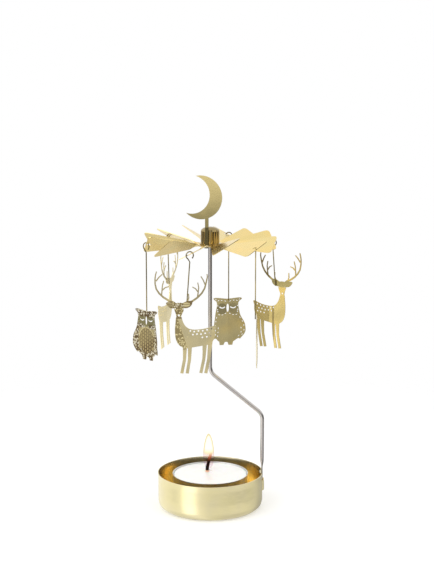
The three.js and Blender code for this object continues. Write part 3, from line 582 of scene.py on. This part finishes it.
def owl_pattern(n, at, x, z):
    """A breast of short feathers in columns under a light arch, and a rim of pale scales."""
    belly = n.oval(x, z, *OWL_BELLY, low=0.96)
    arch = n.product(n.math("SUBTRACT", n.oval(x, z, *OWL_ARCH), belly), n.rise(z, *ARCH_FOOT))
    column = n.math("DIVIDE", n.math("SUBTRACT", x, COLUMN_START), COLUMN_WIDTH)
    shift = n.product(n.math("FLOOR", column), COLUMN_SHIFT)
    row = n.math("ADD", n.math("DIVIDE", z, FEATHER_LENGTH), shift)
    feathers = n.product(n.fall(n.distance(n.math("FRACT", column), 0.5), *FEATHER_SIDES),
                         n.fall(n.distance(n.math("FRACT", row), 0.5), *FEATHER_ENDS))
    up = n.math("SUBTRACT", z, BREAST_MIDDLE)
    # Painted shade: the breast's dark ground deepens towards its lower side at +x
    shaded = n.rise(n.math("SUBTRACT", n.product(x, 0.5), up), -1.0, 4.0)
    head = n.rise(z, *OWL_NECK)
    flank = n.math("SUBTRACT", n.fall(z, *OWL_NECK), belly)
    outer = n.rise(n.distance(x, OWL_MIDDLE), *RIM_SIDES)
    rim = n.product(flank, n.highest(outer, n.fall(z, *OWL_FOOT)))
    brow = n.product(n.rise(z, *OWL_BROW), head)
    cheeks = n.product(n.within(z, *CHEEK_HEIGHTS, 0.4),
                       n.rise(n.distance(x, OWL_FACE), *CHEEK_SIDES))
    edge = n.highest(rim, brow, cheeks)
    scales = n.cells(at, spacing=1.0)
    # Painted shade: the eye discs are darker on both sides of the sheet, the one at +x more
    eyes = n.highest(n.product(n.oval(x, z, *LEFT_EYE), 0.35),
                     n.product(n.oval(x, z, *RIGHT_EYE), 0.75))
    return [
        (eyes, OWL_EYE),
        (n.product(head, 0.85), OWL_HEAD),
        (n.product(belly, n.math("MULTIPLY_ADD", shaded, 0.3, 0.65)), OWL_DARK),
        (n.product(belly, feathers, 0.9), FEATHER),
        (n.product(arch, 0.9), ETCHED_GOLD),
        *speckled(n, edge, scales, (0.4, 0.52, 1.0, OWL_DARK), (0.34, 0.46, ETCHED_SILVER)),
    ]


# Tealight: the burnt wick is a twisted cord of three plies, thicker at its foot, that leans over

WICK_PATH = [
    (-1.5, 1.4, 16.6), (-1.5, 1.4, 18.6), (-1.42, 1.4, 20.2), (-1.15, 1.4, 21.8), (-0.7, 1.4, 23.4),
    (-0.2, 1.35, 25.2), (0.1, 1.3, 26.7), (0.3, 1.3, 27.3),
]
WICK_RADII = [0.85, 0.84, 0.84, 0.82, 0.8, 0.76, 0.7, 0.36]
WICK_SIDES = 18
WICK_PLIES = 3
WICK_TWIST = 40.0
PLY_DEPTH = 0.14
WICK_WEAVE = (1.0, 1.0, 0.35)
EMBER_HEIGHTS = (WAX_CROWN + 4.4, WAX_CROWN + 9.0)
# Where the wax's painted warm light lies, round the wick's front
GLOW_OVAL = (WICK_PATH[0][0], WICK_PATH[0][1] - 1.6), (1.4, 2.9)

# The flame over it is a pale core inside a thin warm mantle. Both are clear round the wick, the
# mantle with a faint lilac tint, and their linear colours follow the height over the flame's foot.
FLAME_FOOT = 19.5
FLAME_HEIGHT = 18.0
FLAME_WIDTH = 5.7
FLAME_WIDEST = 0.36
FOOT_BLUNTNESS = 0.03
TIP_FULLNESS = 0.54
TIP_SHARE = 0.999
FLAME_AT = (-0.8, 1.4)
FLAME_ROWS = 32
FLAME_SIDES = 24
CORE_RISE = 1.2
CORE_INSET = 1.5
CORE_STOPS = [
    (0.0, (0.6, 0.48, 0.3, 1.0)), (0.44, (0.62, 0.54, 0.32, 1.0)),
    (0.62, (1.0, 0.98, 0.9, 1.0)), (1.0, (1.0, 0.98, 0.9, 1.0)),
]
CORE_TINT = (1.0, 0.99, 0.98, 1.0)
MANTLE_STOPS = [
    (0.0, (0.2, 0.22, 0.45, 1.0)), (0.3, (0.7, 0.56, 0.5, 1.0)),
    (0.5, (0.94, 0.84, 0.5, 1.0)), (1.0, (0.92, 0.82, 0.42, 1.0)),
]
MANTLE_TINT = (0.94, 0.88, 0.9, 1.0)


def wax_finish():
    """White wax that the flame shines through, with a faint painted glow all over and a painted
    warm light round the wick's front.
    """
    n = Finish("tealight_wax")
    at = n.millimetres()
    x, y = n.parts(at)[:2]
    clouds = n.noise(at, scale=0.25, detail=4.0)
    # Painted light: a warm glow of the flame round the wick's front
    warm = n.oval(x, y, *GLOW_OVAL, 0.1, 1.2)
    tone = n.mix(warm, n.tones(n.rise(clouds, 0.3, 0.7), WAX), colour(WAX_GLOW))
    n.surface({
        "Base Color": tone,
        "Roughness": 0.38,
        "Subsurface Weight": 0.25,
        "Subsurface Scale": 0.004,
        # Painted light: the wax glows faintly in its own colour
        "Emission Color": tone,
        "Emission Strength": 0.08,
        "Coat Weight": 0.35,
    })
    n.bump(clouds, strength=0.2, depth=0.1)
    return n.material


def wick_finish():
    """Charred cord, with an ember towards its tip."""
    n = Finish("charred_wick")
    at = n.millimetres()
    weave = n.noise(at, scale=2.0, detail=2.0, stretch=WICK_WEAVE)
    n.surface({
        "Base Color": n.tones(n.rise(weave, 0.35, 0.65), CHAR),
        "Roughness": 0.9,
        "Emission Color": n.mix(n.rise(n.parts(at)[2], *EMBER_HEIGHTS), BLACK, EMBER),
        "Emission Strength": 0.8,
        "Specular IOR Level": 0.1,
    })
    n.bump(weave, strength=0.6, depth=0.15)
    return n.material


def flame_finish(name, stops, tint, strength, low, high, density):
    """Glowing gas: clear with a tint up to a low height over its foot, and dense from a high."""
    n = Finish(name)
    z = n.parts(n.millimetres())[2]
    tone = n.ramp(n.rise(z, FLAME_FOOT, FLAME_FOOT + FLAME_HEIGHT), stops)
    seen = n.rise(z, FLAME_FOOT + low, FLAME_FOOT + high, 0.0, density)
    n.show(n.mix_shaders(seen, n.transparent(tint), n.emission(tone, strength)))
    n.tree.nodes.remove(n.bsdf)
    return n.material


TUBE_SMOOTHED = 60.0


def angles(sides):
    return [2 * math.pi * j / sides for j in range(sides)]


def ring(middle, radii):
    """Points round a middle, evenly spaced, each at its own radius."""
    return [
        ((middle[0] + radius * math.cos(angle)) * MM,
         (middle[1] + radius * math.sin(angle)) * MM,
         middle[2] * MM)
        for radius, angle in zip(radii, angles(len(radii)))
    ]


def add_tube(name, rings, material):
    """A closed tube through rings of points, which rides on the tealight."""
    sides = len(rings[0])
    ends = len(rings) * sides
    faces = []
    for start in range(0, ends - sides, sides):
        for j in range(sides):
            k = (j + 1) % sides
            faces.append((start + j, start + k, start + sides + k, start + sides + j))
    faces.append(tuple(range(sides - 1, -1, -1)))
    faces.append(tuple(range(ends - sides, ends)))
    mesh = bpy.data.meshes.new(name)
    mesh.from_pydata([point for points in rings for point in points], [], faces)
    mesh.materials.append(material)
    obj = bpy.data.objects.new(name, mesh)
    bpy.context.scene.collection.objects.link(obj)
    smooth(obj, TUBE_SMOOTHED)
    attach(obj, "tealight")
    return obj


def add_wick(material):
    rings = []
    for i, (place, radius) in enumerate(zip(WICK_PATH, WICK_RADII)):
        turned = math.radians(WICK_TWIST) * i
        rings.append(ring(place, [
            radius * (1.0 + PLY_DEPTH * math.cos(WICK_PLIES * (angle - turned)))
            for angle in angles(WICK_SIDES)
        ]))
    obj = add_tube("burnt_wick", rings, material)
    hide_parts("tealight_wick")


def flame_radius(t):
    """The radius at a share of the height, as a share of the widest."""
    if t <= FLAME_WIDEST:
        return math.sqrt(1.0 - ((FLAME_WIDEST - t) / (FLAME_WIDEST + FOOT_BLUNTNESS)) ** 2)
    return math.cos(math.pi / 2 * (t - FLAME_WIDEST) / (1.0 - FLAME_WIDEST)) ** TIP_FULLNESS


def flame_shell(name, foot, height, width, material):
    rings = []
    for i in range(FLAME_ROWS + 1):
        t = i / FLAME_ROWS
        radius = width / 2 * flame_radius(min(t, TIP_SHARE))
        rings.append(ring((*FLAME_AT, foot + height * t), [radius] * FLAME_SIDES))
    obj = add_tube(name, rings, material)
    obj.visible_shadow = False


def add_flame():
    core = flame_finish("flame_core", CORE_STOPS, CORE_TINT, strength=2.2,
                        low=6.2, high=9.4, density=1.0)
    mantle = flame_finish("flame_mantle", MANTLE_STOPS, MANTLE_TINT, strength=1.0,
                          low=5.0, high=9.5, density=0.6)
    flame_shell("flame_core", FLAME_FOOT + CORE_RISE, FLAME_HEIGHT - 2 * CORE_RISE,
                FLAME_WIDTH - CORE_INSET, core)
    flame_shell("flame_mantle", FLAME_FOOT, FLAME_HEIGHT, FLAME_WIDTH, mantle)


# Dressing of the CAD nodes


def dress(node, material, smoothed=None):
    """Give a CAD node its material and, up to an angle in degrees, smooth shading."""
    mesh = nodes[node].data
    mesh.materials.clear()
    mesh.materials.append(material)
    if smoothed:
        smooth(nodes[node], smoothed)


def dress_all():
    dress("candle_cup", cup_finish(), smoothed=35)
    dress("stand_rod", wire_finish("stand_steel", STEEL, roughness=0.2), smoothed=50)
    foil = plated("tealight_foil", FOIL, roughness=0.3)
    dress("tealight_shell", foil, smoothed=40)
    dress("wick_sustainer", foil, smoothed=40)
    dress("tealight_wax", wax_finish(), smoothed=50)
    wick = wick_finish()
    dress("tealight_wick", wick, smoothed=50)
    add_wick(wick)
    rotor = plated("rotor_sheet", ROTOR_GOLD, roughness=0.24, wave_depth=0.1)
    dress("rotor_blades", rotor, smoothed=25)
    # The hub's darker brass is painted shade
    dress("hub_cap", plated("hub_brass_shaded", HUB_BRASS_SHADED, roughness=0.06), smoothed=20)
    dress("moon_finial", moon_finish(), smoothed=25)
    hook_wire = wire_finish("hanger_wire", HOOK_WIRE, roughness=0.26)
    kinds = (("deer", deer_pattern, DEER_TOP), ("owl", owl_pattern, OWL_TOP))
    for i, hanger in enumerate(HANGERS):
        dress(f"hanger_hook_{i + 1}", hook_wire, smoothed=60)
        kind, pattern, top = kinds[i % 2]
        node = f"{kind}_figure_{i // 2 + 1}"
        dress(node, figure_finish(node, hanger, pattern, top))


# Stage: a round pale floor, soft lamps, a white background and the camera. What metal mirrors is a
# studio: a bright panel at the left front, a dark room at the right past the table, and white
# behind and above. Each list gives the brightness over the turn about +Z, in degrees from +X, in
# one band of height.

TABLE_RADIUS = 320.0
TABLE_SIDES = 96
TABLE_GREY = (0.86, 0.86, 0.86, 1.0)
TABLE_GLOW = 0.3
TABLE_FADE = (TABLE_RADIUS * 0.35, TABLE_RADIUS * 0.9)
UNDER = [
    (0, 0.7), (90, 0.8), (180, 0.9), (215, 1.1), (240, 1.05), (270, 0.85), (310, 0.75),
]
NEAR_TABLE = [
    (0, 0.85), (24, 0.75), (50, 0.5), (72, 0.45), (92, 0.95), (125, 1.12), (200, 1.02), (212, 1.72),
    (229, 1.78), (247, 1.02), (270, 0.88), (300, 0.88), (340, 0.9),
]
FAR_TABLE = [
    (0, 0.2), (20, 0.4), (45, 1.1), (90, 1.15), (150, 1.1), (174, 0.95), (182, 0.38), (190, 0.6),
    (200, 1.15), (226, 1.3), (242, 0.9), (262, 0.7), (284, 0.64), (294, 0.7), (304, 0.6),
    (316, 0.25), (340, 0.15),
]
ROOM = [
    (0, 0.14), (20, 0.2), (50, 0.45), (75, 0.9), (108, 1.05), (135, 0.5), (146, 0.3), (198, 0.3),
    (213, 0.5), (218, 1.6), (228, 1.6), (234, 0.6), (250, 0.75), (280, 0.75), (296, 0.12),
    (345, 0.1),
]
ABOVE = [
    (0, 0.7), (25, 0.95), (60, 1.0), (100, 1.05), (130, 1.2), (190, 1.2), (240, 0.95), (280, 0.75),
    (296, 0.25), (340, 0.25),
]

# The bands over UNDER, and the heights in a direction's Z between which each takes over
BANDS = [
    (NEAR_TABLE, -0.75, -0.5),
    (FAR_TABLE, -0.28, -0.24),
    (ROOM, -0.166, -0.148),
    (ABOVE, 0.04, 0.2),
]

# The background's brightness for diffuse light. The camera sees it as plain white.
DIFFUSE_WHITE = 0.74

# Lamps, with their places and sides in metres and their power in watts, and where they aim
LAMPS = [
    ("key_lamp", (-0.55, -0.5, 0.8), 0.9, 3.2),
    ("fill_lamp", (0.7, -0.4, 0.6), 0.8, 1.8),
]
LAMP_AIM = Vector((0, 0, 0.07))


def camera():
    data = bpy.data.cameras.new("camera")
    data.lens = CAMERA_LENS
    data.sensor_width = SENSOR_WIDTH
    data.sensor_fit = "AUTO"
    obj = bpy.data.objects.new("camera", data)
    obj.location = CAMERA_PLACE
    obj.rotation_euler = (math.radians(90) - CAMERA_PITCH, 0.0, 0.0)
    bpy.context.scene.collection.objects.link(obj)
    bpy.context.scene.camera = obj


def floor():
    """A table that only a direct look and diffuse light meet, and that fades out at its edge."""
    bpy.ops.mesh.primitive_circle_add(
        vertices=TABLE_SIDES, radius=TABLE_RADIUS * MM, fill_type="NGON", location=(0, 0, 0))
    obj = bpy.context.object
    obj.name = "pale_floor"
    n = Finish("pale_floor")
    n.surface({"Base Color": TABLE_GREY, "Roughness": 0.9})
    lit = n.add("ShaderNodeAddShader")
    n.fill(lit, n.bsdf.outputs[0], n.emission(WHITE, n.product(n.camera_ray(), TABLE_GLOW)))
    faded = n.rise(n.vector_math("LENGTH", n.millimetres())["Value"], *TABLE_FADE)
    absent = n.highest(n.mirrored_ray(), faded)
    n.show(n.mix_shaders(absent, lit.outputs[0], n.transparent(WHITE)))
    obj.data.materials.append(n.material)


def around(g, turn, table):
    """The brightness at a turn from 0 to 1, by a table of degrees and values. A ramp's colours end
    at 1, so the values are halved in it and doubled after it."""
    stops = []
    for degrees, value in table + [(360, table[0][1])]:
        stops.append((degrees / 360, (value / 2, value / 2, value / 2, 1.0)))
    return g.product(g.ramp(turn, stops, "EASE"), 2.0)


def world():
    made = bpy.data.worlds.new("studio")
    bpy.context.scene.world = made
    made.use_nodes = True
    g = Graph(made.node_tree)
    x, y, z = g.parts(g.add("ShaderNodeTexCoord").outputs["Generated"])
    turn = g.math("DIVIDE", g.math("ARCTAN2", y, x), 2 * math.pi)
    turn = g.math("WRAP", turn, 1.0, 0.0)
    studio = around(g, turn, UNDER)
    for table, low, high in BANDS:
        studio = g.between(g.rise(z, low, high), studio, around(g, turn, table))
    plain = g.between(g.camera_ray(), DIFFUSE_WHITE, 1.0)
    strength = g.between(g.mirrored_ray(), plain, studio)
    g.fill(g.tree.nodes["Background"], WHITE, strength)


def lamp(name, place, side, power):
    data = bpy.data.lights.new(name, "AREA")
    data.shape = "SQUARE"
    data.size = side
    data.energy = power
    obj = bpy.data.objects.new(name, data)
    obj.location = place
    obj.rotation_euler = (LAMP_AIM - obj.location).to_track_quat("-Z", "Y").to_euler()
    bpy.context.scene.collection.objects.link(obj)


camera()
floor()
world()
for settings in LAMPS:
    lamp(*settings)
bpy.context.scene.view_settings.view_transform = "Standard"
dress_all()
add_flame()
